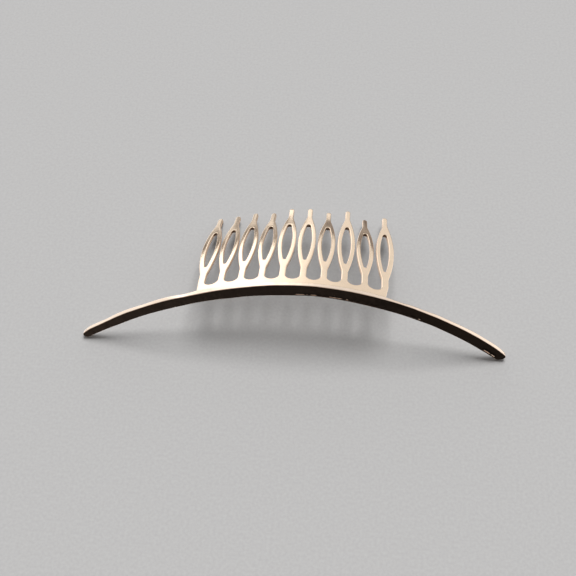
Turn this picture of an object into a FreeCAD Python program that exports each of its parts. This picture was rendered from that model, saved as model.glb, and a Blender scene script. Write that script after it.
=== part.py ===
import FreeCAD, Part
import math
import os

# Arched hair comb: a slim flat bar, bent to the curve of the head, with a stamped
# ten-tooth comb plate soldered behind its upper edge. All sizes are in millimetres.
#
# The pieces are shaped in a working frame: X runs along the bar, Y along the teeth and
# away from the bar, Z outward from the head. The bar's back face lies in the plane Y = 0
# and the crown of its upper edge is at the working origin. At the end the whole comb is
# turned so that it lies as it does on a table, on the bar's two ends and one tooth tip.

# --- bar -------------------------------------------------------------------------------
CROWN_RADIUS = 86.5          # upper edge, over the stretch that carries the comb plate
LEFT_ARM_RADIUS = 120.0      # the left arm is a little straighter than the right one
RIGHT_ARM_RADIUS = 88.0
CROWN_HALF_LENGTH = 25.5     # along the upper edge, from the middle to where an arm starts
LEFT_LENGTH = 58.6           # along the upper edge, from the middle to the end's corner
RIGHT_LENGTH = 59.5
LEFT_CORNERS = (0.7, 1.3)    # corner radii of an end: the upper one, then the lower one
RIGHT_CORNERS = (0.7, 2.0)
BAR_THICKNESS = 1.5
BAR_WIDTH = 3.1              # face width at the crown
LOWER_EDGE_STATIONS = 9      # where the lower edge is set out from the upper one
BAR_EDGE_ROUNDING = 0.2

# --- comb plate ------------------------------------------------------------------------
# A tooth is a narrow stem, a leaf with an almond-shaped opening, and a narrow stub that
# ends in a rounded tip.
TOOTH_COUNT = 10
TOOTH_PITCH = 5.3
PLATE_THICKNESS = 0.9
PLATE_STEP = 0.15            # how far the plate's outer surface lies below the bar's edge
TOOTH_LENGTH = 37.05         # from the bar's back face to a tip, in the middle of the comb
COMB_SLANT = 0.013           # the pattern stands out further to the right, in mm per mm
STEM_HALF_WIDTH = 0.8
GAP_BOTTOM = 1.95            # height of the solid strip between two stems
OUTER_SPREAD = 0.2           # extra width of the two outer teeth, on their free sides
LEFT_BASE_INSET = 0.2        # how far the comb's outer left side leans in towards the bar
RIGHT_BASE_INSET = 0.65
BASE_END_SLANT = 4.5         # height over which the two outer sides lean
LEAF_HALF_WIDTH = 2.35
LEAF_WIDEST_AT = 20.25
LEAF_LOWER_RADIUS = 54.0
LEAF_UPPER_RADIUS = 43.7
STEM_FLARE_RADIUS = 5.0
STUB_FLARE_RADIUS = 8.0
STUB_HALF_WIDTH = 0.66
TIP_SHOULDER = 0.6           # length of the rounded tip
OPENING_HALF_WIDTH = 1.28
OPENING_LOWER_RADIUS = 46.8
OPENING_UPPER_RADIUS = 40.0
OPENING_LOWER_END_RADIUS = 0.35
OPENING_UPPER_END_RADIUS = 0.55
BEND_START = 4.0             # the teeth are straight up to here, and curve inward beyond
# How far each tooth tip is bent inward, from the left. They are set by hand, so they differ.
TIP_DROPS = [1.8, 2.1, 1.9, 2.3, 1.3, 1.1, 2.1, 0.5, 2.3, 0.2]

# --- solder ----------------------------------------------------------------------------
SOLDER_LEG = 0.8             # fillet of solder in the corner under the plate
SOLDER_HALF_LENGTH = 23.4

SIDES = (-1, 1)
ARCH_AXIS_POINT = FreeCAD.Vector(0, 0, -CROWN_RADIUS)
ARCH_AXIS = FreeCAD.Vector(0, 1, 0)
OUTWARD = FreeCAD.Vector(0, 0, 1)


def arc(start, middle, end):
    return Part.Arc(start, middle, end).toShape()


def arch_point(length, inset=0.0):
    """Point on the arch, at a length along the upper edge and an inset towards the head."""
    side = 1 if length >= 0 else -1
    crown_angle = min(abs(length), CROWN_HALF_LENGTH) / CROWN_RADIUS
    angle, radius = crown_angle, CROWN_RADIUS
    centre_x, centre_z = 0.0, -CROWN_RADIUS
    if abs(length) > CROWN_HALF_LENGTH:
        radius = RIGHT_ARM_RADIUS if side > 0 else LEFT_ARM_RADIUS
        angle += (abs(length) - CROWN_HALF_LENGTH) / radius
        centre_x = (CROWN_RADIUS - radius) * math.sin(crown_angle)
        centre_z += (CROWN_RADIUS - radius) * math.cos(crown_angle)
    x = centre_x + (radius - inset) * math.sin(angle)
    z = centre_z + (radius - inset) * math.cos(angle)
    return FreeCAD.Vector(side * x, 0, z)


def bar_end(side):
    """Upper length and corner radii of one end, where its rounding starts, and two directions.

    The directions are along the bar, off its end, and across it, towards the head.
    """
    length, corners = (RIGHT_LENGTH, RIGHT_CORNERS) if side > 0 else (LEFT_LENGTH, LEFT_CORNERS)
    start = arch_point(side * length)
    across = arch_point(side * length, 1.0) - start
    along = FreeCAD.Vector(-side * across.z, 0, side * across.x)
    return length, corners, start, along, across


def bar_width(length):
    """Face width of the bar, narrowing smoothly from the crown to each end."""
    end_length, corners = bar_end(1 if length > 0 else -1)[:2]
    return BAR_WIDTH - (BAR_WIDTH - sum(corners)) * (length / end_length) ** 2


def rounded_end(side):
    """Two corner arcs round one end of the bar, and the point where its lower edge starts."""
    (upper, lower), start, along, across = bar_end(side)[1:]
    diagonal = math.sqrt(0.5)
    tip = start + (along + across) * upper
    finish = tip + (across - along) * lower
    upper_middle = start + along * (upper * diagonal) + across * (upper * (1 - diagonal))
    lower_middle = tip + across * (lower * diagonal) - along * (lower * (1 - diagonal))
    return [arc(start, upper_middle, tip), arc(tip, lower_middle, finish)], finish


def make_arched_bar():
    """Flat bar: a front outline of tangent arcs, with rounded ends, of even thickness."""
    breaks = [-LEFT_LENGTH, -CROWN_HALF_LENGTH, CROWN_HALF_LENGTH, RIGHT_LENGTH]
    upper = [arc(arch_point(a), arch_point((a + b) / 2), arch_point(b))
             for a, b in zip(breaks, breaks[1:])]
    left_end, left_finish = rounded_end(-1)
    right_end, right_finish = rounded_end(1)

    step = (LEFT_LENGTH + RIGHT_LENGTH) / (LOWER_EDGE_STATIONS - 1)
    stations = [-LEFT_LENGTH + i * step for i in range(1, LOWER_EDGE_STATIONS - 1)]
    inner_points = [arch_point(s, bar_width(s)) for s in stations]
    lower_curve = Part.BSplineCurve()
    lower_curve.interpolate(Points=[left_finish] + inner_points + [right_finish],
                            InitialTangent=-bar_end(-1)[3], FinalTangent=bar_end(1)[3])

    edges = upper + left_end + right_end + [lower_curve.toShape()]
    bar = Part.Face(Part.Wire(Part.__sortEdges__(edges)))
    bar = bar.extrude(FreeCAD.Vector(0, -BAR_THICKNESS, 0))
    front_edges = [edge for edge in bar.Edges
                   if max(v.Y for v in edge.Vertexes) < -BAR_THICKNESS / 2]
    return bar.makeFillet(BAR_EDGE_ROUNDING, front_edges)


def flare(line_x, centre, radius, flare_radius, direction):
    """Hollow arc that joins the line x = line_x to the leaf's side, above or below it.

    Returns the point where it leaves the line, its middle and where it meets the side.
    """
    reach = radius + flare_radius
    middle_x = line_x + flare_radius
    middle_y = centre.y + direction * math.sqrt(reach ** 2 - (middle_x - centre.x) ** 2)
    middle = FreeCAD.Vector(middle_x, middle_y, 0)
    on_line = FreeCAD.Vector(line_x, middle_y, 0)
    on_side = centre + (middle - centre) * (radius / reach)
    bisector = ((on_line + on_side) * 0.5 - middle).normalize()
    return on_line, middle + bisector * flare_radius, on_side


def mirrored(point, side):
    return FreeCAD.Vector(side * point.x, point.y, point.z)


def along_comb(index):
    """Length along the comb from its middle to a tooth, or to the gap at a half number."""
    return (index - (TOOTH_COUNT - 1) / 2) * TOOTH_PITCH


def rise(index):
    """How much further out the pattern stands at a tooth or gap than in the middle."""
    return COMB_SLANT * along_comb(index)


def tooth_side(index, side):
    """Edges of one side of a tooth, from the bar up to the tip's shoulder."""
    is_outer = not 0 <= index + side < TOOTH_COUNT
    stem_x = STEM_HALF_WIDTH + (OUTER_SPREAD if is_outer else 0)
    leaf_x = LEAF_HALF_WIDTH + (OUTER_SPREAD if is_outer else 0)
    widest_at = LEAF_WIDEST_AT + rise(index)
    lower_centre = FreeCAD.Vector(leaf_x - LEAF_LOWER_RADIUS, widest_at, 0)
    upper_centre = FreeCAD.Vector(leaf_x - LEAF_UPPER_RADIUS, widest_at, 0)
    stem_top, stem_flare, leaf_foot = flare(
        stem_x, lower_centre, LEAF_LOWER_RADIUS, STEM_FLARE_RADIUS, -1)
    stub_foot, stub_flare, leaf_head = flare(
        STUB_HALF_WIDTH, upper_centre, LEAF_UPPER_RADIUS, STUB_FLARE_RADIUS, 1)
    widest = FreeCAD.Vector(leaf_x, widest_at, 0)
    shoulder = FreeCAD.Vector(STUB_HALF_WIDTH, TOOTH_LENGTH + rise(index) - TIP_SHOULDER, 0)

    def on_leaf(centre, radius, height):
        x = centre.x + math.sqrt(radius ** 2 - (height - centre.y) ** 2)
        return FreeCAD.Vector(x, height, 0)

    lower_middle = on_leaf(lower_centre, LEAF_LOWER_RADIUS, (leaf_foot.y + widest_at) / 2)
    upper_middle = on_leaf(upper_centre, LEAF_UPPER_RADIUS, (leaf_head.y + widest_at) / 2)

    if is_outer:
        inset = LEFT_BASE_INSET if side < 0 else RIGHT_BASE_INSET
        corner = FreeCAD.Vector(stem_x - inset, 0, 0)
        stem_foot = FreeCAD.Vector(stem_x, BASE_END_SLANT, 0)
        parts = [[corner, stem_foot]]
    else:
        gap_radius = TOOTH_PITCH / 2 - stem_x
        gap_bottom = GAP_BOTTOM + rise(index + side / 2)
        corner = FreeCAD.Vector(TOOTH_PITCH, 0, 0)
        shelf = FreeCAD.Vector(TOOTH_PITCH, gap_bottom, 0)
        gap_floor = FreeCAD.Vector(TOOTH_PITCH / 2, gap_bottom, 0)
        stem_foot = FreeCAD.Vector(stem_x, gap_bottom + gap_radius, 0)
        diagonal = gap_radius * math.sqrt(0.5)
        gap_corner = FreeCAD.Vector(
            TOOTH_PITCH / 2 - diagonal, gap_bottom + gap_radius - diagonal, 0)
        parts = [[corner, shelf], [shelf, gap_floor], [gap_floor, gap_corner, stem_foot]]
    parts += [[stem_foot, stem_top], [stem_top, stem_flare, leaf_foot],
              [leaf_foot, lower_middle, widest], [widest, upper_middle, leaf_head],
              [leaf_head, stub_flare, stub_foot], [stub_foot, shoulder]]

    edges = []
    for points in parts:
        points = [mirrored(point, side) for point in points]
        edges.append(arc(*points) if len(points) == 3 else Part.makeLine(*points))
    return edges, mirrored(corner, side), mirrored(shoulder, side)


def opening_wire():
    """Almond-shaped opening inside a tooth's leaf: four long arcs and two small ends."""
    ends = []
    edges = []
    for radius, end_radius, direction in (
            (OPENING_LOWER_RADIUS, OPENING_LOWER_END_RADIUS, -1),
            (OPENING_UPPER_RADIUS, OPENING_UPPER_END_RADIUS, 1)):
        centre = FreeCAD.Vector(OPENING_HALF_WIDTH - radius, LEAF_WIDEST_AT, 0)
        rise = math.sqrt((radius - end_radius) ** 2 - centre.x ** 2)
        end_centre = FreeCAD.Vector(0, LEAF_WIDEST_AT + direction * rise, 0)
        joint = end_centre + (end_centre - centre).normalize() * end_radius
        middle_y = (joint.y + LEAF_WIDEST_AT) / 2
        middle_x = centre.x + math.sqrt(radius ** 2 - (middle_y - LEAF_WIDEST_AT) ** 2)
        middle = FreeCAD.Vector(middle_x, middle_y, 0)
        widest = FreeCAD.Vector(OPENING_HALF_WIDTH, LEAF_WIDEST_AT, 0)
        for side in SIDES:
            edges.append(arc(*[mirrored(p, side) for p in (widest, middle, joint)]))
        tip = end_centre + FreeCAD.Vector(0, direction * end_radius, 0)
        ends.append(arc(mirrored(joint, -1), tip, joint))
    return Part.Wire(Part.__sortEdges__(edges + ends))


def tooth_cutter(index):
    """Upright block with the flat outline of one tooth and its share of the base strip."""
    left, left_corner, left_shoulder = tooth_side(index, -1)
    right, right_corner, right_shoulder = tooth_side(index, 1)
    tip = arc(left_shoulder, FreeCAD.Vector(0, TOOTH_LENGTH + rise(index), 0), right_shoulder)
    base = Part.makeLine(left_corner, right_corner)
    outline = Part.Wire(Part.__sortEdges__(left + right + [tip, base]))
    opening = opening_wire()
    opening.translate(FreeCAD.Vector(0, rise(index), 0))
    face = Part.Face([outline, opening])
    clearance = PLATE_THICKNESS
    depth = PLATE_STEP + PLATE_THICKNESS + max(TIP_DROPS) + 2 * clearance
    face.translate(OUTWARD * (clearance - depth))
    return face.extrude(OUTWARD * depth)


def tooth_strip(index):
    """Piece of curved sheet, one pitch wide: straight at the bar, bent inward beyond."""
    reach = TOOTH_LENGTH + rise(index) - BEND_START
    bend_radius = reach ** 2 / (2 * TIP_DROPS[index])
    bend_angle = (reach + PLATE_THICKNESS) / bend_radius
    outer = -PLATE_STEP
    inner = outer - PLATE_THICKNESS
    centre = FreeCAD.Vector(0, BEND_START, outer - bend_radius)

    def bent(radius, angle):
        return centre + FreeCAD.Vector(0, radius * math.sin(angle), radius * math.cos(angle))

    bends = (0, bend_angle / 2, bend_angle)
    outer_bend = [bent(bend_radius, angle) for angle in bends]
    inner_bend = [bent(bend_radius - PLATE_THICKNESS, angle) for angle in bends]
    foot_outer = FreeCAD.Vector(0, 0, outer)
    foot_inner = FreeCAD.Vector(0, 0, inner)
    profile = Part.Wire([
        Part.makeLine(foot_inner, foot_outer),
        Part.makeLine(foot_outer, outer_bend[0]),
        arc(*outer_bend),
        Part.makeLine(outer_bend[-1], inner_bend[-1]),
        arc(*inner_bend),
        Part.makeLine(inner_bend[0], foot_inner)])
    pitch_angle = math.degrees(TOOTH_PITCH / CROWN_RADIUS)
    face = Part.Face(profile)
    face.rotate(ARCH_AXIS_POINT, ARCH_AXIS, -pitch_angle / 2)
    return face.revolve(ARCH_AXIS_POINT, ARCH_AXIS, pitch_angle)


def tooth_angle(index):
    return math.degrees(along_comb(index) / CROWN_RADIUS)


def make_comb_plate():
    """Stamped comb: ten teeth and the strip they stand on, one piece of curved sheet."""
    teeth = []
    for index in range(TOOTH_COUNT):
        tooth = tooth_strip(index).common(tooth_cutter(index))
        tooth.rotate(ARCH_AXIS_POINT, ARCH_AXIS, tooth_angle(index))
        teeth.append(tooth)
    return teeth[0].multiFuse(teeth[1:]).removeSplitter().Solids[0]


def make_solder_fillet():
    """Run of solder in the corner between the bar's back face and the plate's inner side."""
    corner = FreeCAD.Vector(0, 0, -PLATE_STEP - PLATE_THICKNESS)
    along_plate = corner + FreeCAD.Vector(0, SOLDER_LEG, 0)
    down_bar = corner - FreeCAD.Vector(0, 0, SOLDER_LEG)
    face = Part.Face(Part.makePolygon([corner, along_plate, down_bar, corner]))
    half_angle = math.degrees(SOLDER_HALF_LENGTH / CROWN_RADIUS)
    face.rotate(ARCH_AXIS_POINT, ARCH_AXIS, -half_angle)
    return face.revolve(ARCH_AXIS_POINT, ARCH_AXIS, 2 * half_angle)


def tooth_tip(index):
    """Lowest point of a tooth's tip: the end of its inner surface."""
    length = TOOTH_LENGTH + rise(index)
    slope = 2 * TIP_DROPS[index] / (length - BEND_START)
    depth = PLATE_STEP + TIP_DROPS[index] + PLATE_THICKNESS
    point = FreeCAD.Vector(0, length - PLATE_THICKNESS * slope, -depth)
    turn = FreeCAD.Rotation(ARCH_AXIS, tooth_angle(index))
    return ARCH_AXIS_POINT + turn.multVec(point - ARCH_AXIS_POINT)


def bar_foot(side):
    """Lowest point of a bar end."""
    (upper, lower), start, along, across = bar_end(side)[1:]
    return start + (along + across) * upper - (along + OUTWARD) * lower


def resting_turn():
    """Rotation that lays the comb on a level table: on both bar ends and one tooth tip.

    Each bar end touches at the lowest point of its lower corner.
    """
    left, right = bar_foot(-1), bar_foot(1)
    tips = [tooth_tip(index) for index in range(TOOTH_COUNT)]
    for tip in tips:
        normal = (right - left).cross(tip - left).normalize()
        if all((other - left).dot(normal) > -1e-6 for other in tips):
            return FreeCAD.Rotation(normal, OUTWARD)
    raise ValueError("no tooth tip carries the comb")


def main():
    pieces = {
        "arched_bar": make_arched_bar(),
        "comb_plate": make_comb_plate(),
        "solder_fillet": make_solder_fillet(),
    }
    turn = FreeCAD.Placement(FreeCAD.Vector(), resting_turn())
    for shape in pieces.values():
        shape.transformShape(turn.toMatrix())

    box = Part.makeCompound(list(pieces.values())).optimalBoundingBox()
    to_origin = FreeCAD.Vector(-box.Center.x, -box.Center.y, -box.ZMin)
    os.makedirs("parts", exist_ok=True)
    for name, shape in pieces.items():
        shape.translate(to_origin)
        if not shape.isValid() or len(shape.Solids) != 1:
            raise ValueError(name + " is not one valid solid")
        shape.exportStep("parts/" + name + ".step")
        print(name, "volume", round(shape.Volume, 2), "mm3")

    front = FreeCAD.Vector(0, -BAR_THICKNESS, -BAR_WIDTH / 2)
    print("box", round(box.XLength, 2), round(box.YLength, 2), round(box.ZLength, 2))
    print("bar front", turn.multVec(front) + to_origin)
    print("bar front faces", turn.Rotation.multVec(FreeCAD.Vector(0, -1, 0)))


main()
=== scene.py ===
import math

import bpy
import numpy as np
from mathutils import Matrix, Vector, kdtree, noise
from mathutils.geometry import delaunay_2d_cdt


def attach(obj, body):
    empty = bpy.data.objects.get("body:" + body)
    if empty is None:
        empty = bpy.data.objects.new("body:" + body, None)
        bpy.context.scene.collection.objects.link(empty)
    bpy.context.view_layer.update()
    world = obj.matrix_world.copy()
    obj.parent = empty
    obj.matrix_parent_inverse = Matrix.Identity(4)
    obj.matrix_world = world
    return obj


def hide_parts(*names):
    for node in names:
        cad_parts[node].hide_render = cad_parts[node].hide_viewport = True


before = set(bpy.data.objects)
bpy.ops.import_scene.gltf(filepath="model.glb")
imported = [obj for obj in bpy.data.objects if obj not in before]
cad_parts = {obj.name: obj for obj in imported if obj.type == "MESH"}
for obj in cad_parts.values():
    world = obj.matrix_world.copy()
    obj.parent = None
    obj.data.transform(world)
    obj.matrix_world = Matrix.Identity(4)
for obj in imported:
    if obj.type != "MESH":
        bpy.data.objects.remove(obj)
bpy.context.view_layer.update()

# Gold-plated arched hair comb. The shapes are set out in millimetres in the comb's own
# frame, where X runs along the bar, Y along the teeth and away from the bar, and Z away
# from the head. REST_NORMAL is the direction in that frame that points up when the comb
# lies on a table, and REST_SHIFT then moves it over the middle of its footprint.
METRES_PER_MM = 0.001
REST_NORMAL = Vector((0.018817998, -0.351386695, 0.936041278))
REST_SHIFT = Vector((-0.272131, -12.832176, 19.024677))
REST_TURN = REST_NORMAL.rotation_difference(Vector((0, 0, 1))).to_matrix()

# --- sizes shared with the CAD part ------------------------------------------------------
CROWN_RADIUS = 86.5
LEFT_ARM_RADIUS = 120.0
RIGHT_ARM_RADIUS = 88.0
CROWN_HALF_LENGTH = 25.5
LEFT_LENGTH = 58.6
RIGHT_LENGTH = 59.5
LEFT_CORNERS = (0.7, 1.3)
RIGHT_CORNERS = (0.7, 2.0)
BAR_THICKNESS = 1.5
BAR_WIDTH = 3.1

TOOTH_COUNT = 10
TOOTH_PITCH = 5.3
PLATE_THICKNESS = 0.9
PLATE_STEP = 0.15            # the plate's outer face lies this far below the bar's upper edge
TOOTH_LENGTH = 37.05
COMB_SLANT = 0.013
STEM_HALF_WIDTH = 0.8
GAP_BOTTOM = 1.95
OUTER_SPREAD = 0.2
LEFT_BASE_INSET = 0.2
RIGHT_BASE_INSET = 0.65
BASE_END_SLANT = 4.5
LEAF_HALF_WIDTH = 2.35
LEAF_WIDEST_AT = 20.25
LEAF_LOWER_RADIUS = 54.0
LEAF_UPPER_RADIUS = 43.7
STEM_FLARE_RADIUS = 5.0
STUB_FLARE_RADIUS = 8.0
STUB_HALF_WIDTH = 0.66
TIP_SHOULDER = 0.6
OPENING_HALF_WIDTH = 1.28
OPENING_LOWER_RADIUS = 46.8
OPENING_UPPER_RADIUS = 40.0
OPENING_LOWER_END_RADIUS = 0.35
OPENING_UPPER_END_RADIUS = 0.55
BEND_START = 4.0
TIP_DROPS = [1.8, 2.1, 1.9, 2.3, 1.3, 1.1, 2.1, 0.5, 2.3, 0.2]   # bent inward, from the left
SOLDER_LEG = 0.8
SOLDER_HALF_LENGTH = 23.4

# --- finish, only in the visual ----------------------------------------------------------
BASE_TUCK = 0.5              # the plate's foot runs on into the bar this far, out of sight
BASE_CORNER = 0.45
# How much of its bend each tooth loses beyond STRAIGHT_FROM, from the left.
TIP_STRAIGHTENING = [0.0, 0.0, 0.0, 0.0, 0.65, 0.65, 0.65, 0.2, 0.0, 0.0]
STRAIGHT_FROM = 29.0
PLATE_CROWN = 0.24           # width of the softly crowned band along the plate's edges
# Inward offset and depth of the plate's front edge, from the flat down to its side wall.
PLATE_EDGE = [(PLATE_CROWN, 0.0), (0.19, 0.003), (0.145, 0.01), (0.105, 0.021), (0.07, 0.038),
              (0.04, 0.062), (0.018, 0.095), (0.0, 0.15)]
PLATE_BACK_BREAK = 0.1       # small bevel along the plate's back edges
SHEARED_RIM = 0.05           # points this near the rim are on the side walls
SHEARED_FROM = 0.1           # depth at which the side walls' sheared part begins
SHEARED_BLEND = 0.12
BAR_ROLL = 0.2               # rounding round the bar's face
FACE_ROLL_ANGLES = (90, 76, 62, 46, 30, 15, 0)
BACK_ROLL_ANGLES = (0, 15, 30, 45, 60, 75, 90)
WALL_SHARES = (0.2, 0.4, 0.6, 0.8)
BAR_BACK_ROLL = [(0, 0.2), (24, 0.2), (28, 0.42), (60, 0.42)]   # by length from the crown
WEAR_BLEND = 0.4             # how gradually the wear of the bar's edges fades
# The lip of plating that stands on the face's lower edge: inward offset, share of its height.
LIP = [(0.66, 0.0), (0.61, 0.3), (0.56, 0.8), (0.52, 1.0), (0.47, 0.7), (0.42, 0.0)]
# Where the lip stands: start, end, how unbroken it is, and its height.
LIP_STRETCHES = [(1.0, 17.5, 0.5, 0.16), (20.5, 22.5, 0.3, 0.12), (31.6, 34.6, 0.6, 0.18),
                 (53.6, 57.8, 1.0, 0.2)]
LIP_BREAKS = (0.9, 14.2)     # scale and seed of the noise that breaks the lip
LIP_FULL = 0.8               # noise level from which the lip has its whole height
LOWER_EDGE_FROM = 0.9        # share of the face's width below which a point is on its lower edge
# How far the hammered bar stands off its even arch, by length along it: the strip's back
# and front edges, and the face's lower edge.
HAMMERING = [(-61, -0.8, -0.9, 0.0), (-59, -0.3, -0.35, 0.0), (-58, -0.05, -0.1, 0.0),
             (-57, 0.2, 0.05, 0.0), (-54, 0.1, -0.03, 0.0), (-51.5, 0.02, 0.0, 0.0),
             (-48, 0.31, 0.1, -0.05), (-44, 0.38, 0.18, 0.06), (-42, 0.26, 0.08, 0.1),
             (-39, 0.06, 0.05, 0.1), (-36, 0.29, 0.02, 0.05), (-32, 0.19, -0.02, 0.0),
             (-30, -0.06, -0.15, -0.08), (-28, -0.25, -0.25, -0.05), (-24, -0.1, -0.34, -0.05),
             (-16, -0.05, -0.26, -0.25), (-12, 0.0, -0.2, -0.12), (-8, 0.05, -0.07, -0.1),
             (-4, 0.1, 0.08, -0.1), (0, 0.14, 0.16, -0.05), (6, 0.2, 0.24, 0.2),
             (12, 0.15, 0.14, 0.05), (20, 0.05, 0.04, -0.2),
             (24, -0.15, 0.0, -0.2), (28, -0.42, -0.05, -0.18), (31, -0.16, -0.05, -0.15),
             (34.5, -0.34, -0.14, -0.2), (38, -0.06, -0.12, -0.06), (42, -0.1, -0.12, -0.15),
             (46, 0.06, -0.03, -0.12), (50, 0.16, -0.04, -0.08), (54, 0.19, 0.03, -0.08),
             (56, 0.26, 0.03, 0.0), (58.5, 0.1, 0.0, 0.0), (60, -0.15, -0.15, 0.0),
             (62, -0.6, -0.6, 0.0)]
HAMMER_BLEND = np.linspace(-1.2, 1.2, 7)    # the dents are averaged over these shifts
HAMMER_REACH = 1.2           # how far into the face an edge's dents fade out
THINNING = 1.4               # where the back edge is the lower one, the bar is thinner instead
MOST_THINNING = 0.45         # in millimetres
NOISE_GAIN = 1.6             # brings the noise to about -1 to 1
NOISE_SKEW = 0.37            # keeps the seeds off the noise's grid, where it is zero
FINE_WAVES = [(4.2, 11.7, 0.02), (1.7, 5.3, 0.012)]         # scale, seed, height
SOLDER_WAVES = [(2.3, 21.0, 0.12), (0.8, 8.4, 0.05)]
SOLDER_STATIONS = 190
SOLDER_TAPER = 1.5           # length over which the solder runs out at each end
SOLDER_END = 0.02            # squared size that is left there
SOLDER_PROFILE = [(0.0, 0.0), (1.0, 0.0), (0.72, 0.13), (0.5, 0.26), (0.36, 0.36),
                  (0.26, 0.5), (0.13, 0.72), (0.0, 1.0)]    # along the plate, down the bar

# --- mesh --------------------------------------------------------------------------------
CORNER_STEPS = 12            # points round each corner of the bar's ends
OUTLINE_STEP = 0.25          # spacing of the points along the outlines
LEAST_ARC_STEPS = 3
LARGEST_ARC_STEP = math.radians(18)
FILL_STEP = 0.55             # spacing of the points inside the flat faces
FILL_CLEARANCE = 0.5         # share of that spacing kept free along the outlines
FILL_TOLERANCE = 1e-5
TEST_BATCH = 400             # points tested at once, to save memory

# --- metal -------------------------------------------------------------------------------
SHEARED_ROUGHNESS = 0.7      # added where the sheet was sheared by the die
GOLD = (0.95, 0.765, 0.585)
BAR_GOLD = (0.95, 0.785, 0.645)
SOLDER_GOLD = (0.86, 0.7, 0.54)
COPPER = (0.72, 0.44, 0.3)
ROSE = (0.88, 0.65, 0.49)
MOTTLE_DEPTH = 0.94          # brightness of the tint's darker clouds
WEAR_GRAIN = 900.0           # this and the next two are noise scales, in cells per metre
SMEAR_SCALE = 260.0
DENT_SCALE = 420.0
BRUSHING_STRETCH = (0.06, 1.0, 1.0)         # the hairlines run along X
BRUSHING_TURN = (0.0, 0.0, 0.35)
HAIRLINE_STRENGTH = 0.35

# --- studio: levels by azimuth from straight behind, left to right, and by elevation ------
PANEL_FOOT = 5.0             # elevation where the panel straight behind ends
PANEL_BLUR = 0.9             # half the height of the panel's soft lower edge, in degrees
SAG_DEGREES = 40.0
# How far the panel's foot hangs below PANEL_FOOT at each azimuth, as a share of SAG_DEGREES.
SIDE_SAG = [(-180, -1.4), (-150, -1.3), (-128, -0.9), (-108, -0.1), (-80, 0.5), (-60, 0.7),
            (-43, 0.5), (-30, 0.25), (-24, 0.137), (-17, 0.06), (-13, 0.05), (-7, -0.028),
            (2, 0.022), (10, 0.065), (15, 0.08), (26, 0.2), (42, 0.55), (60, 0.7), (80, 0.5),
            (108, -0.1), (128, -0.9), (150, -1.3), (180, -1.4)]
PANEL_LEVEL = [(-180, 0.7), (-110, 0.8), (-60, 0.95), (-43, 1.0), (-36, 1.15), (-28, 1.6),
               (-20, 1.8), (-9, 1.5), (-3, 1.17), (4, 0.91), (12, 0.8), (20, 0.8), (32, 0.93),
               (45, 1.03), (70, 0.95), (110, 0.85), (180, 0.8)]
LOWER_LEVEL = [(-180, 0.01), (-174, 0.011), (-160, 0.015), (-110, 0.02), (-60, 0.3),
               (-28, 0.62), (-16, 0.64), (-6, 0.5), (2, 0.27), (12, 0.24), (40, 0.25),
               (100, 0.02), (160, 0.006), (169, 0.007), (180, 0.01)]
# A darker dip just under the panel's foot: its depth by azimuth, its shape by degrees.
SHADE_DEPTH = [(-180, 0.0), (-60, 0.0), (-42, 0.35), (-30, 0.7), (-22, 0.7), (-15, 0.55),
               (-8, 0.35), (-3, 0.1), (4, 0.0), (180, 0.0)]
SHADE_BELOW_FOOT = [(-12, 0.0), (-5.5, 0.05), (-4.2, 0.4), (-3.2, 0.85), (-2.4, 1.0),
                    (-1.4, 0.95), (-0.6, 0.7), (2, 0.0)]
LOWER_FADE = [(-90, 3.0), (-45, 2.4), (-20, 1.5), (-10, 1.1), (0, 0.98), (90, 1.0)]
HIGH_FADE = [(-90, 1.0), (19, 1.0), (30, 0.78), (45, 0.62), (60, 0.55), (90, 0.55)]
CURVE_TOP = 2.0              # the curve nodes hold the levels as shares of this
UNEVENNESS_SCALE = 16.0
UNEVENNESS = (0.55, 1.45)    # least and most of the lower light, cloud by cloud
PANEL_COLOUR = (1, 0.99, 0.975, 1)
ROOM_COLOUR = (1, 0.84, 0.78, 1)
PANEL_FROM = 0.55            # level from which the light has the panel's colour
BACKDROP_COLOUR = (0.5, 0.5, 0.51, 1)

SUN_PLACE = Vector((0.06, 0.2, 0.5))        # the sun shines from here towards the origin
SUN_ANGLE = math.radians(34)
SUN_STRENGTH = 3.6
SUN_COLOUR = (1, 0.99, 0.97)
FLOOR_RADIUS = 1.6
FLOOR_GRAIN = 1400.0
FLOOR_DARK = (0.33, 0.33, 0.335, 1)
FLOOR_LIGHT = (0.36, 0.36, 0.365, 1)

# --- camera, in the comb's own frame -----------------------------------------------------
CAMERA_TURN = (-5.09, 36.07, 0.93)          # yaw, pitch and roll in degrees
CAMERA_OFFSET = Vector((0.85, -1.43, 250.38))   # of the frame's origin: right, down, ahead
SENSOR_WIDTH = 36.0
LENS = 62.5


# --- outlines ----------------------------------------------------------------------------
def arc_points(centre, radius, start, end):
    """Points on an arc from one point to another, the short way round, without the last."""
    first = math.atan2(start[1] - centre[1], start[0] - centre[0])
    last = math.atan2(end[1] - centre[1], end[0] - centre[0])
    sweep = (last - first + math.pi) % (2 * math.pi) - math.pi
    count = max(LEAST_ARC_STEPS, math.ceil(abs(sweep) * radius / OUTLINE_STEP),
                math.ceil(abs(sweep) / LARGEST_ARC_STEP))
    angles = [first + sweep * i / count for i in range(count)]
    return [(centre[0] + radius * math.cos(a), centre[1] + radius * math.sin(a)) for a in angles]


def line_points(start, end):
    """Points on a straight line, without the last."""
    count = max(1, math.ceil(math.dist(start, end) / OUTLINE_STEP))
    return [(start[0] + (end[0] - start[0]) * i / count,
             start[1] + (end[1] - start[1]) * i / count) for i in range(count)]


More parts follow.
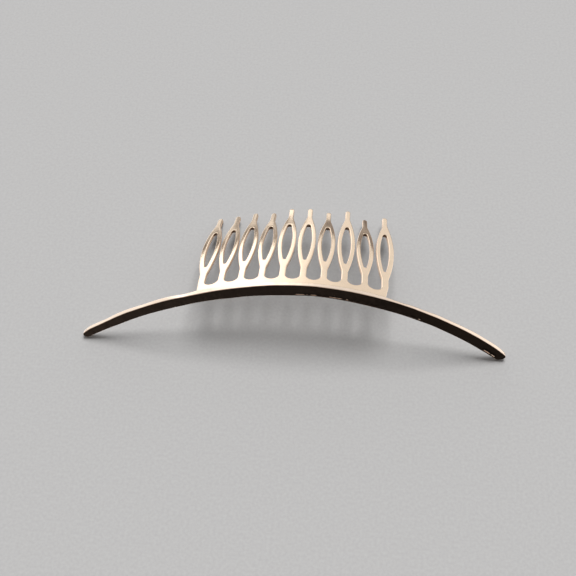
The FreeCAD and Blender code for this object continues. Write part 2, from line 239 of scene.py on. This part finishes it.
def flare(line_x, centre, radius, flare_radius, direction):
    """Concave arc between the line x = line_x and the leaf's side: its centre and two ends."""
    reach = radius + flare_radius
    middle_x = line_x + flare_radius
    away = math.sqrt(reach ** 2 - (middle_x - centre[0]) ** 2)
    middle = (middle_x, centre[1] + direction * away)
    share = radius / reach
    on_side = (centre[0] + (middle[0] - centre[0]) * share,
               centre[1] + (middle[1] - centre[1]) * share)
    return middle, (line_x, middle[1]), on_side


def along_comb(index):
    """Length along the comb from its middle to a tooth, or to the gap at a half number."""
    return (index - (TOOTH_COUNT - 1) / 2) * TOOTH_PITCH


def rise(index):
    """How much further out the pattern stands at a tooth or gap than in the middle."""
    return COMB_SLANT * along_comb(index)


def base_end(stem_x, inset):
    """Foot of an outer side: its rounded corner inside the bar, then the leaning side."""
    x = stem_x - inset
    centre = (x - BASE_CORNER, BASE_CORNER - BASE_TUCK)
    foot = (x, centre[1])
    turn = arc_points(centre, BASE_CORNER, (centre[0], -BASE_TUCK), foot)
    return turn + line_points(foot, (stem_x, BASE_END_SLANT))


def tooth_side(index, side):
    """One side of a tooth, drawn as if on the right, from the base up to the tip."""
    is_outer = not 0 <= index + side < TOOTH_COUNT
    stem_x = STEM_HALF_WIDTH + (OUTER_SPREAD if is_outer else 0)
    leaf_x = LEAF_HALF_WIDTH + (OUTER_SPREAD if is_outer else 0)
    widest = (leaf_x, LEAF_WIDEST_AT + rise(index))
    lower_centre = (leaf_x - LEAF_LOWER_RADIUS, widest[1])
    upper_centre = (leaf_x - LEAF_UPPER_RADIUS, widest[1])
    stem_centre, stem_top, leaf_foot = flare(
        stem_x, lower_centre, LEAF_LOWER_RADIUS, STEM_FLARE_RADIUS, -1)
    stub_centre, stub_foot, leaf_head = flare(
        STUB_HALF_WIDTH, upper_centre, LEAF_UPPER_RADIUS, STUB_FLARE_RADIUS, 1)
    tip = (0, TOOTH_LENGTH + rise(index))
    shoulder = (STUB_HALF_WIDTH, tip[1] - TIP_SHOULDER)
    tip_radius = (STUB_HALF_WIDTH ** 2 + TIP_SHOULDER ** 2) / (2 * TIP_SHOULDER)
    if is_outer:
        base = base_end(stem_x, LEFT_BASE_INSET if side < 0 else RIGHT_BASE_INSET)
        stem_foot = (stem_x, BASE_END_SLANT)
    else:
        gap_radius = TOOTH_PITCH / 2 - stem_x
        gap_floor = (TOOTH_PITCH / 2, GAP_BOTTOM + rise(index + side / 2))
        stem_foot = (stem_x, gap_floor[1] + gap_radius)
        base = arc_points((gap_floor[0], stem_foot[1]), gap_radius, gap_floor, stem_foot)
        if side < 0:
            base = base[1:]
    upper = line_points(stem_foot, stem_top)
    upper += arc_points(stem_centre, STEM_FLARE_RADIUS, stem_top, leaf_foot)
    upper += arc_points(lower_centre, LEAF_LOWER_RADIUS, leaf_foot, widest)
    upper += arc_points(upper_centre, LEAF_UPPER_RADIUS, widest, leaf_head)
    upper += arc_points(stub_centre, STUB_FLARE_RADIUS, leaf_head, stub_foot)
    upper += line_points(stub_foot, shoulder)
    upper += arc_points((0, tip[1] - tip_radius), tip_radius, shoulder, tip)
    return base + upper


def opening():
    """The almond-shaped opening, right side from the bottom to the top, then back down."""
    widest = (OPENING_HALF_WIDTH, LEAF_WIDEST_AT)

    def half(radius, end_radius, direction):
        """Centres of the side's arc and the end's arc, where they meet, and the end's pole."""
        centre = (OPENING_HALF_WIDTH - radius, LEAF_WIDEST_AT)
        away = direction * math.sqrt((radius - end_radius) ** 2 - centre[0] ** 2)
        end_centre = (0, LEAF_WIDEST_AT + away)
        share = radius / (radius - end_radius)
        joint = (centre[0] - centre[0] * share, centre[1] + away * share)
        pole = (0, end_centre[1] + direction * end_radius)
        return centre, end_centre, joint, pole

    centre, end_centre, joint, pole = half(OPENING_LOWER_RADIUS, OPENING_LOWER_END_RADIUS, -1)
    right = arc_points(end_centre, OPENING_LOWER_END_RADIUS, pole, joint)
    right += arc_points(centre, OPENING_LOWER_RADIUS, joint, widest)
    centre, end_centre, joint, pole = half(OPENING_UPPER_RADIUS, OPENING_UPPER_END_RADIUS, 1)
    right += arc_points(centre, OPENING_UPPER_RADIUS, widest, joint)
    right += arc_points(end_centre, OPENING_UPPER_END_RADIUS, joint, pole)
    left = [(-x, y) for x, y in right[:0:-1]]
    return right + [pole] + left


def plate_loops():
    """Flat outline of the comb plate, anticlockwise, and of its ten openings, clockwise."""
    outline = []
    for index in reversed(range(TOOTH_COUNT)):
        left = [(-x, y) for x, y in reversed(tooth_side(index, -1))]
        tip = [(0, TOOTH_LENGTH + rise(index))]
        outline += [(along_comb(index) + x, y) for x, y in tooth_side(index, 1) + tip + left]
    outline += line_points(outline[-1], outline[0])[1:]
    hole = opening()[::-1]
    return [outline] + [[(along_comb(i) + x, y + rise(i)) for x, y in hole]
                        for i in range(TOOTH_COUNT)]


def bar_width(length):
    """Face width of the bar at a length along its upper edge, even beyond the ends."""
    end_length = LEFT_LENGTH if length < 0 else RIGHT_LENGTH
    corners = LEFT_CORNERS if length < 0 else RIGHT_CORNERS
    share = min(abs(length) / end_length, 1.0)
    return BAR_WIDTH - (BAR_WIDTH - sum(corners)) * share ** 2


def rounded_end(length, corners):
    """The two corners of a bar end, from its upper edge round to where its lower one starts."""
    upper, lower = corners
    tip = length + upper
    turn = np.linspace(0, math.pi / 2, CORNER_STEPS)
    above = [(length + upper * math.sin(a), -upper * (1 - math.cos(a))) for a in turn[:-1]]
    below = [(tip - lower * (1 - math.cos(a)), -upper - lower * math.sin(a)) for a in turn]
    return above + below


def bar_loop():
    """Outline of the bar's front, laid out straight: length along it and inset below it."""
    upper = line_points((RIGHT_LENGTH, 0), (-LEFT_LENGTH, 0))
    left = [(-x, y) for x, y in rounded_end(LEFT_LENGTH, LEFT_CORNERS)]
    right = rounded_end(RIGHT_LENGTH, RIGHT_CORNERS)[::-1]
    lower = [(x, -bar_width(x)) for x, _ in line_points((left[-1][0], 0), (right[0][0], 0))]
    return upper + left + lower[1:] + right[:-1]


# --- sheet with rolled edges -------------------------------------------------------------
def inward(loop):
    """Unit vectors that point from a loop into the metal on its left, point by point."""
    ahead = np.roll(loop, -1, axis=0) - loop
    behind = loop - np.roll(loop, 1, axis=0)
    ahead /= np.linalg.norm(ahead, axis=1)[:, None]
    behind /= np.linalg.norm(behind, axis=1)[:, None]
    along = ahead + behind
    along /= np.linalg.norm(along, axis=1)[:, None]
    return np.column_stack([-along[:, 1], along[:, 0]])


def in_metal(points, loops):
    """Which points lie in the metal: inside the outline and outside the openings."""
    inside = np.zeros(len(points), bool)
    for loop in loops:
        x0, y0 = loop[:, 0], loop[:, 1]
        x1, y1 = np.roll(x0, -1), np.roll(y0, -1)
        for part in np.array_split(np.arange(len(points)), max(1, len(points) // TEST_BATCH)):
            px, py = points[part, 0][:, None], points[part, 1][:, None]
            spans = (y0 > py) != (y1 > py)
            with np.errstate(divide="ignore", invalid="ignore"):
                cross = x0 + (py - y0) * (x1 - x0) / (y1 - y0)
            inside[part] ^= (np.sum(spans & (px < cross), axis=1) % 2).astype(bool)
    return inside


def fill_flat(loops, step):
    """Triangles over the flat metal between the loops, with extra points inside it."""
    rim = np.vstack(loops)
    tree = kdtree.KDTree(len(rim))
    for index, (x, y) in enumerate(rim):
        tree.insert((x, y, 0), index)
    tree.balance()
    low, high = rim.min(0), rim.max(0)
    grid = np.array([(x + (row % 2) * step / 2, y)
                     for row, y in enumerate(np.arange(low[1], high[1], step))
                     for x in np.arange(low[0], high[0], step)])
    grid = grid[in_metal(grid, loops)]
    grid = np.array([(x, y) for x, y in grid
                     if tree.find((x, y, 0))[2] > step * FILL_CLEARANCE])
    edges = []
    first = 0
    for loop in loops:
        count = len(loop)
        edges += [(first + i, first + (i + 1) % count) for i in range(count)]
        first += count
    points = [Vector(p) for p in np.vstack([rim, grid])]
    verts, _, faces, origin, _, _ = delaunay_2d_cdt(points, edges, [], 1, FILL_TOLERANCE)
    if len(verts) != len(points):
        raise ValueError("the flat fill moved or merged points")
    flat = np.array(verts)
    centres = np.array([flat[list(face)].mean(0) for face in faces])
    keep = in_metal(centres, loops)
    ids = [source[0] for source in origin]
    return [[ids[v] for v in face] for face, good in zip(faces, keep) if good], grid


def rolled_sheet(loops, rings, step):
    """Solid sheet: closed loops swept through rings (inward offset, depth), filled flat.

    Each ring is a function of a loop's points that gives the offset and the depth there.
    Returns the points as (x, y, depth), the faces, and how far each point is from the rim.
    """
    loops = [np.array(loop, float) for loop in loops]
    loop_ends = np.cumsum([len(loop) for loop in loops])
    points = []
    faces = []
    rim_distance = []
    starts = []
    total = 0
    for ring in rings:
        starts.append([])
        for loop in loops:
            offset, depth = ring(loop)
            moved = loop + inward(loop) * np.broadcast_to(offset, len(loop))[:, None]
            points.append(np.column_stack([moved, np.broadcast_to(depth, len(loop))]))
            rim_distance.append(np.broadcast_to(offset, len(loop)))
            starts[-1].append(total)
            total += len(loop)
    for upper, lower in zip(starts, starts[1:]):
        for a, b, loop in zip(upper, lower, loops):
            count = len(loop)
            for i in range(count):
                j = (i + 1) % count
                faces.append((a + i, b + i, b + j, a + j))
    rim_size = loop_ends[-1]
    for ring_index, flipped in ((0, False), (len(rings) - 1, True)):
        first = starts[ring_index][0]
        rim = np.vstack(points[ring_index * len(loops):(ring_index + 1) * len(loops)])
        triangles, grid = fill_flat(np.split(rim[:, :2], loop_ends[:-1]), step)
        points.append(np.column_stack([grid, np.full(len(grid), rim[:, 2].mean())]))
        rim_distance.append(np.full(len(grid), 1.0))
        for triangle in triangles:
            ids = [int(first + v if v < rim_size else total + v - rim_size) for v in triangle]
            faces.append(tuple(reversed(ids)) if flipped else tuple(ids))
        total += len(grid)
    return np.vstack(points), faces, np.concatenate(rim_distance)


# --- from flat to the comb's own frame and to the row frame ------------------------------
def to_row(points):
    """Millimetres in the comb's own frame to metres in the row frame."""
    turn = np.array(REST_TURN)
    return (points @ turn.T + np.array(REST_SHIFT)) * METRES_PER_MM


def tooth_drop(s, v):
    """How far the bent teeth lie below the straight sheet, and the slope there."""
    index = np.clip(np.rint(s / TOOTH_PITCH + (TOOTH_COUNT - 1) / 2), 0, TOOTH_COUNT - 1)
    drops = np.array(TIP_DROPS)[index.astype(int)]
    length = TOOTH_LENGTH + rise(index)
    bend_radius = (length - BEND_START) ** 2 / (2 * drops)
    beyond = np.clip(v - BEND_START, 0, None)
    slope = np.arcsin(beyond / bend_radius)
    drop = bend_radius * (1 - np.cos(slope))
    back = np.array(TIP_STRAIGHTENING)[index.astype(int)] * length / bend_radius
    drop -= back * np.clip(v - STRAIGHT_FROM, 0, None) ** 2 / (2 * (length - STRAIGHT_FROM))
    return drop, slope


def plate_shape(flat):
    """Bends the flat plate: teeth inward, and the whole round the arch."""
    s, v, depth = flat.T
    drop, slope = tooth_drop(s, v)
    radius = CROWN_RADIUS - PLATE_STEP - drop - depth / np.cos(slope)
    angle = s / CROWN_RADIUS
    return np.column_stack([radius * np.sin(angle), v, radius * np.cos(angle) - CROWN_RADIUS])


def arch_frame(length):
    """Points on the bar's upper edge and the outward directions there."""
    side = np.where(length >= 0, 1.0, -1.0)
    beyond = np.clip(np.abs(length) - CROWN_HALF_LENGTH, 0, None)
    crown_angle = np.minimum(np.abs(length), CROWN_HALF_LENGTH) / CROWN_RADIUS
    arm = np.where(side > 0, RIGHT_ARM_RADIUS, LEFT_ARM_RADIUS)
    angle = crown_angle + beyond / arm
    on_arm = beyond > 0
    shift = np.where(on_arm, CROWN_RADIUS - arm, 0.0)
    radius = np.where(on_arm, arm, CROWN_RADIUS)
    x = side * (shift * np.sin(crown_angle) + radius * np.sin(angle))
    z = shift * np.cos(crown_angle) + radius * np.cos(angle) - CROWN_RADIUS
    return np.column_stack([x, z]), np.column_stack([side * np.sin(angle), np.cos(angle)])


def bar_shape(flat):
    """Bends the straight bar along the arch; depth 0 is its front face."""
    s, inset, depth = flat.T
    edge, outward = arch_frame(s)
    xz = edge + outward * inset[:, None]
    return np.column_stack([xz[:, 0], depth - BAR_THICKNESS, xz[:, 1]])


def smooth_noise(values, scale, seed):
    """Seeded smooth noise along a line, from about -1 to 1."""
    return np.array([noise.noise(Vector((value / scale, seed, seed * NOISE_SKEW))) * NOISE_GAIN
                     for value in values])


def waves(values, layers):
    """Sum of smooth noises along a line, each of them (scale, seed, height)."""
    return sum(smooth_noise(values, scale, seed) * height for scale, seed, height in layers)


def make_piece(name, points, faces, attributes, replaced, material):
    """One finished piece, with its point attributes, that replaces a CAD node."""
    mesh = bpy.data.meshes.new(name)
    mesh.from_pydata([tuple(p) for p in to_row(points)], [], faces)
    mesh.validate()
    for key, values in attributes.items():
        layer = mesh.attributes.new(key, "FLOAT", "POINT")
        layer.data.foreach_set("value", np.asarray(values, np.float32))
    mesh.shade_smooth()
    piece = bpy.data.objects.new(name, mesh)
    bpy.context.scene.collection.objects.link(piece)
    mesh.materials.append(material)
    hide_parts(replaced)
    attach(piece, "root")
    return piece


# --- materials ---------------------------------------------------------------------------
def add_node(tree, kind, inputs=None, **settings):
    """A new node; each input is either a socket to link or a value to set."""
    made = tree.nodes.new(kind)
    for key, value in settings.items():
        setattr(made, key, value)
    for key, value in (inputs or {}).items():
        if isinstance(value, bpy.types.NodeSocket):
            tree.links.new(value, made.inputs[key])
        else:
            made.inputs[key].default_value = value
    return made


def ramp(tree, factor, stops):
    """Colour between the stops (position, colour)."""
    made = add_node(tree, "ShaderNodeValToRGB", {"Fac": factor})
    elements = made.color_ramp.elements
    while len(elements) < len(stops):
        elements.new(0.5)
    for element, (position, colour) in zip(elements, stops):
        element.position = position
        element.color = colour
    return made.outputs["Color"]


def map_range(tree, value, start, end, low=0.0, high=1.0, kind="LINEAR"):
    """The value's place from start to end, as a number from low to high."""
    return add_node(tree, "ShaderNodeMapRange", {0: value, 1: start, 2: end, 3: low, 4: high},
                    interpolation_type=kind).outputs[0]


def mix_colour(tree, factor, first, second):
    """Mix of two colours; 6, 7 and 2 are the Mix node's colour sockets."""
    return add_node(tree, "ShaderNodeMix", {0: factor, 6: first, 7: second},
                    data_type="RGBA").outputs[2]


def plated_metal(name, tint, worn, roughness, mottle_scale, hair_scale, hair_depth, dent_depth):
    """Polished plating: cloudy tint, the worn tint at the rims, hairlines and shallow dents.

    Scales are in cells per metre and depths in metres. The mesh attribute "rim" says where
    the plating is worn, and "sheared" where the die left the metal rough.
    """
    material = bpy.data.materials.new(name)
    material.use_nodes = True
    tree = material.node_tree
    tree.nodes.clear()
    place = add_node(tree, "ShaderNodeTexCoord").outputs["Object"]
    cloud = add_node(tree, "ShaderNodeTexNoise", {
        "Vector": place, "Scale": mottle_scale, "Detail": 4.0, "Roughness": 0.55}).outputs["Fac"]
    dark = [channel * MOTTLE_DEPTH for channel in tint]
    colour = ramp(tree, cloud, [(0.3, (*dark, 1)), (0.7, (*tint, 1))])

    rim = add_node(tree, "ShaderNodeAttribute", attribute_name="rim").outputs["Fac"]
    broken = add_node(tree, "ShaderNodeTexNoise", {
        "Vector": place, "Scale": WEAR_GRAIN, "Detail": 3.0, "Roughness": 0.6}).outputs["Fac"]
    wear = add_node(tree, "ShaderNodeMath", {0: rim, 1: broken}, operation="MULTIPLY").outputs[0]
    wear = ramp(tree, wear, [(0.25, (0, 0, 0, 1)), (0.75, (1, 1, 1, 1))])
    colour = mix_colour(tree, wear, colour, (*worn, 1))

    stretch = add_node(tree, "ShaderNodeMapping", {
        "Vector": place, "Rotation": BRUSHING_TURN, "Scale": BRUSHING_STRETCH}).outputs[0]
    hairs = add_node(tree, "ShaderNodeTexNoise", {
        "Vector": stretch, "Scale": hair_scale, "Detail": 3.0, "Roughness": 0.7}).outputs["Fac"]
    smear = add_node(tree, "ShaderNodeTexNoise", {
        "Vector": place, "Scale": SMEAR_SCALE, "Detail": 2.0}).outputs["Fac"]
    dulled = add_node(tree, "ShaderNodeMath", {0: hairs, 1: smear}, operation="MULTIPLY").outputs[0]
    rough = map_range(tree, dulled, 0.1, 0.45, *roughness)
    dents = add_node(tree, "ShaderNodeTexNoise", {
        "Vector": place, "Scale": DENT_SCALE, "Detail": 1.0}).outputs["Fac"]
    bump = add_node(tree, "ShaderNodeBump", {
        "Height": dents, "Strength": 1.0, "Distance": dent_depth}).outputs["Normal"]
    bump = add_node(tree, "ShaderNodeBump", {
        "Height": hairs, "Strength": HAIRLINE_STRENGTH, "Distance": hair_depth,
        "Normal": bump}).outputs["Normal"]
    sheared = add_node(tree, "ShaderNodeAttribute", attribute_name="sheared").outputs["Fac"]
    rough = add_node(tree, "ShaderNodeMath", {0: sheared, 1: SHEARED_ROUGHNESS, 2: rough},
                     operation="MULTIPLY_ADD").outputs[0]
    shader = add_node(tree, "ShaderNodeBsdfPrincipled", {
        "Base Color": colour, "Metallic": 1.0, "Roughness": rough, "Normal": bump})
    output = add_node(tree, "ShaderNodeOutputMaterial")
    tree.links.new(shader.outputs["BSDF"], output.inputs["Surface"])
    return material


# --- the comb plate ----------------------------------------------------------------------
def make_comb_plate(material):
    """The stamped sheet: crowned front edges, sheared side walls, small bevel at the back."""
    stations = PLATE_EDGE + [(0.0, PLATE_THICKNESS - PLATE_BACK_BREAK),
                             (PLATE_BACK_BREAK, PLATE_THICKNESS)]
    rings = [lambda loop, station=station: station for station in stations]
    points, faces, rim = rolled_sheet(plate_loops(), rings, FILL_STEP)
    wear = np.clip(1 - rim / PLATE_CROWN, 0, 1) ** 2
    on_wall = np.clip((points[:, 2] - SHEARED_FROM) / SHEARED_BLEND, 0, 1)
    sheared = (rim < SHEARED_RIM) * on_wall
    return make_piece("comb_plate_detailed", plate_shape(points), faces,
                      {"rim": wear, "sheared": sheared}, "comb_plate", material)


# --- the bar -----------------------------------------------------------------------------
def hammered(length, column):
    """How far one edge of the bar stands off the arch there, blended along the bar."""
    stops = np.array(HAMMERING)
    return np.mean([np.interp(length + shift, stops[:, 0], stops[:, column])
                    for shift in HAMMER_BLEND], axis=0)


def lip_height(loop):
    """Height of the broken lip at the points of the bar's outline, along its lower edge."""
    length, inset = loop.T
    on_edge = inset < -LOWER_EDGE_FROM * np.array([bar_width(x) for x in length])
    broken = smooth_noise(length, *LIP_BREAKS)
    total = 0
    for start, end, unbroken, height in LIP_STRETCHES:
        there = (length > start) & (length < end)
        total = total + there * np.clip(broken + unbroken, 0, LIP_FULL) * height / LIP_FULL
    return on_edge * total


def make_arched_bar(material):
    """The bar: lip and rounding round the face, side walls, larger rounding at the back."""
    def lip(offset, height):
        return lambda loop: (offset, -height * lip_height(loop))

    def roll(angle):
        turn = math.radians(angle)
        return lambda loop: (BAR_ROLL * (1 - math.cos(turn)), BAR_ROLL * (1 - math.sin(turn)))

    def back_roll(loop):
        return np.interp(np.abs(loop[:, 0]), *np.array(BAR_BACK_ROLL).T)

    def wall(share):
        return lambda loop: (0.0, BAR_ROLL + (BAR_THICKNESS - back_roll(loop) - BAR_ROLL) * share)

    def back(angle):
        turn = math.radians(angle)
        return lambda loop: (back_roll(loop) * (1 - math.cos(turn)),
                             BAR_THICKNESS - back_roll(loop) * (1 - math.sin(turn)))

    rings = [lip(offset, height) for offset, height in LIP]
    rings += [roll(angle) for angle in FACE_ROLL_ANGLES]
    rings += [wall(share) for share in WALL_SHARES]
    rings += [back(angle) for angle in BACK_ROLL_ANGLES]
    points, faces, rim = rolled_sheet([bar_loop()], rings, FILL_STEP)
    length, inset, depth = points.T
    worn = (1 - np.clip(rim / BAR_ROLL, 0, 1) - np.clip(depth / BAR_ROLL, 0, 1)) / WEAR_BLEND
    worn = np.where(depth < 0, 1.0, worn)    # all of the lip is worn
    width = np.array([bar_width(x) for x in length])
    near_top = np.clip(1 + inset / HAMMER_REACH, 0, 1)
    near_bottom = np.clip(1 - (width + inset) / HAMMER_REACH, 0, 1)
    to_back = np.clip(depth / BAR_THICKNESS, 0, 1)
    back_edge, front_edge, lower_edge = (hammered(length, column) for column in (1, 2, 3))
    lean = back_edge - front_edge
    strip = front_edge + np.clip(lean, 0, None) * to_back
    fine = waves(length, FINE_WAVES)
    points[:, 1] += near_top * (strip + fine) + near_bottom * lower_edge
    points[:, 2] -= near_top * to_back * np.clip(-THINNING * lean, 0, MOST_THINNING)
    return make_piece("arched_bar_hammered", bar_shape(points), faces,
                      {"rim": np.clip(worn, 0, 1)}, "arched_bar", material)


# --- the solder --------------------------------------------------------------------------
def make_solder(material):
    """Slightly lumpy run of solder with a concave face behind the bar, closed at both ends."""
    stations = np.linspace(-SOLDER_HALF_LENGTH, SOLDER_HALF_LENGTH, SOLDER_STATIONS)
    from_end = SOLDER_HALF_LENGTH - np.abs(stations)
    taper = np.sqrt(np.clip(from_end / SOLDER_TAPER, SOLDER_END, 1))
    corner_radius = CROWN_RADIUS - PLATE_STEP - PLATE_THICKNESS
    points = []
    faces = []
    for station, lump, size in zip(stations, waves(stations, SOLDER_WAVES), taper):
        angle = station / CROWN_RADIUS
        for along_plate, down_bar in SOLDER_PROFILE:
            radius = corner_radius - SOLDER_LEG * size * down_bar * (1 + lump)
            points.append((radius * math.sin(angle),
                           SOLDER_LEG * size * along_plate * (1 - lump),
                           radius * math.cos(angle) - CROWN_RADIUS))
    across = len(SOLDER_PROFILE)
    for first in range(0, len(points) - across, across):
        for j in range(across):
            k = (j + 1) % across
            faces.append((first + j, first + k, first + across + k, first + across + j))
    faces.append(tuple(reversed(range(across))))
    faces.append(tuple(range(len(points) - across, len(points))))
    return make_piece("solder_run", np.array(points), faces, {"rim": np.zeros(len(points))},
                      "solder_fillet", material)


# --- floor, light and camera -------------------------------------------------------------
def make_floor():
    """Plain pale floor, which the metal doesn't mirror."""
    bpy.ops.mesh.primitive_circle_add(vertices=96, radius=FLOOR_RADIUS, fill_type="NGON",
                                      location=(0, 0, 0))
    floor = bpy.context.object
    floor.name = "floor"
    floor.visible_glossy = False
    material = bpy.data.materials.new("pale_floor")
    material.use_nodes = True
    tree = material.node_tree
    shader = tree.nodes["Principled BSDF"]
    place = add_node(tree, "ShaderNodeTexCoord").outputs["Object"]
    grain = add_node(tree, "ShaderNodeTexNoise", {
        "Vector": place, "Scale": FLOOR_GRAIN}).outputs["Fac"]
    tree.links.new(ramp(tree, grain, [(0.3, FLOOR_DARK), (0.7, FLOOR_LIGHT)]),
                   shader.inputs["Base Color"])
    shader.inputs["Roughness"].default_value = 0.9
    shader.inputs["Specular IOR Level"].default_value = 0.1
    floor.data.materials.append(material)


def make_studio():
    """Soft studio light by direction, as azimuth from straight behind and elevation.

    A wide soft panel stands behind and at both sides, brightest on the left. Straight behind
    it ends a little above the table; at the sides it reaches down past it. The camera itself
    sees a plain backdrop.
    """
    world = bpy.data.worlds.new("studio")
    bpy.context.scene.world = world
    world.use_nodes = True
    tree = world.node_tree
    tree.nodes.clear()
    way = add_node(tree, "ShaderNodeTexCoord").outputs["Generated"]
    x, y, z = add_node(tree, "ShaderNodeSeparateXYZ", {0: way}).outputs

    def calc(operation, a, b=0.0, c=0.0):
        return add_node(tree, "ShaderNodeMath", {0: a, 1: b, 2: c}, operation=operation).outputs[0]

    def curve(value, stops):
        """The level at a value in degrees, through the stops (degrees, level)."""
        low, high = stops[0][0], stops[-1][0]
        share = calc("MULTIPLY_ADD", value, 1 / (high - low), -low / (high - low))
        made = add_node(tree, "ShaderNodeFloatCurve", {"Value": share})
        line = made.mapping.curves[0]
        made.mapping.use_clip = False
        while len(line.points) < len(stops):
            line.points.new(0.5, 0.0)
        for point, (degrees, level) in zip(line.points, stops):
            point.location = ((degrees - low) / (high - low), level / CURVE_TOP)
        made.mapping.update()
        return calc("MULTIPLY", made.outputs[0], CURVE_TOP)

    azimuth = calc("DEGREES", calc("ARCTAN2", x, y))
    elevation = calc("DEGREES", calc("ARCSINE", z))
    sag = curve(azimuth, SIDE_SAG)
    above = calc("SUBTRACT", elevation, calc("MULTIPLY_ADD", sag, -SAG_DEGREES, PANEL_FOOT))
    edge = map_range(tree, above, -PANEL_BLUR, PANEL_BLUR, kind="SMOOTHSTEP")
    panel = curve(azimuth, PANEL_LEVEL)
    lower = calc("MULTIPLY", curve(azimuth, LOWER_LEVEL), curve(elevation, LOWER_FADE))
    clouds = add_node(tree, "ShaderNodeTexNoise", {
        "Vector": way, "Scale": UNEVENNESS_SCALE, "Detail": 2.0}).outputs[0]
    lower = calc("MULTIPLY", lower, map_range(tree, clouds, 0.35, 0.65, *UNEVENNESS))
    lowest, highest = SHADE_BELOW_FOOT[0][0], SHADE_BELOW_FOOT[-1][0]
    near_foot = calc("MINIMUM", calc("MAXIMUM", above, lowest), highest)
    shade = calc("MULTIPLY", curve(azimuth, SHADE_DEPTH), curve(near_foot, SHADE_BELOW_FOOT))
    lower = calc("MULTIPLY", lower, calc("SUBTRACT", 1.0, shade))
    level = calc("ADD", calc("MULTIPLY", panel, edge),
                 calc("MULTIPLY", lower, calc("SUBTRACT", 1.0, edge)))
    level = calc("MULTIPLY", level, curve(elevation, HIGH_FADE))
    lightness = map_range(tree, level, 0.0, PANEL_FROM)
    colour = mix_colour(tree, lightness, ROOM_COLOUR, PANEL_COLOUR)
    glow = add_node(tree, "ShaderNodeBackground", {"Color": colour, "Strength": level})
    plain = add_node(tree, "ShaderNodeBackground", {"Color": BACKDROP_COLOUR, "Strength": 1.0})
    seen = add_node(tree, "ShaderNodeLightPath").outputs["Is Camera Ray"]
    both = add_node(tree, "ShaderNodeMixShader", {0: seen, 1: glow.outputs[0], 2: plain.outputs[0]})
    output = add_node(tree, "ShaderNodeOutputWorld")
    tree.links.new(both.outputs[0], output.inputs["Surface"])


def make_lamp():
    """Wide soft sun that lights the floor; the metal doesn't mirror it."""
    lamp = bpy.data.lights.new("overhead", "SUN")
    lamp.angle = SUN_ANGLE
    lamp.energy = SUN_STRENGTH
    lamp.color = SUN_COLOUR
    overhead = bpy.data.objects.new("overhead", lamp)
    overhead.location = SUN_PLACE
    overhead.rotation_mode = "QUATERNION"
    overhead.rotation_quaternion = (-overhead.location).to_track_quat("-Z", "Y")
    overhead.visible_glossy = False
    bpy.context.scene.collection.objects.link(overhead)


def make_camera():
    """The viewing angle is set out in the comb's own frame, then laid down with the comb."""
    yaw, pitch, roll = (math.radians(angle) for angle in CAMERA_TURN)
    forward = Vector((math.sin(yaw) * math.cos(pitch), math.cos(yaw) * math.cos(pitch),
                      -math.sin(pitch)))
    level = Vector((math.cos(yaw), -math.sin(yaw), 0))
    down = forward.cross(level)
    right = level * math.cos(roll) + down * math.sin(roll)
    low = down * math.cos(roll) - level * math.sin(roll)
    place = -(right * CAMERA_OFFSET.x + low * CAMERA_OFFSET.y + forward * CAMERA_OFFSET.z)
    data = bpy.data.cameras.new("camera")
    data.sensor_width = SENSOR_WIDTH
    data.lens = LENS
    data.clip_start = 0.01
    data.clip_end = 20.0
    camera = bpy.data.objects.new("camera", data)
    turn = REST_TURN @ Matrix((right, -low, -forward)).transposed()
    place = (REST_TURN @ place + REST_SHIFT) * METRES_PER_MM
    camera.matrix_world = Matrix.Translation(place) @ turn.to_4x4()
    bpy.context.scene.collection.objects.link(camera)
    bpy.context.scene.camera = camera


bar_gold = plated_metal("bar_gold", BAR_GOLD, COPPER, roughness=(0.06, 0.15), mottle_scale=180.0,
                        hair_scale=2600.0, hair_depth=0.00003, dent_depth=0.00007)
comb_gold = plated_metal("comb_gold", GOLD, ROSE, roughness=(0.05, 0.12), mottle_scale=240.0,
                         hair_scale=3200.0, hair_depth=0.00001, dent_depth=0.000004)
solder_gold = plated_metal("solder_gold", SOLDER_GOLD, COPPER, roughness=(0.16, 0.38),
                           mottle_scale=600.0, hair_scale=1500.0, hair_depth=0.00006,
                           dent_depth=0.0001)
make_arched_bar(bar_gold)
make_comb_plate(comb_gold)
make_solder(solder_gold)
make_floor()
make_studio()
make_lamp()
make_camera()
bpy.context.scene.view_settings.view_transform = "Standard"
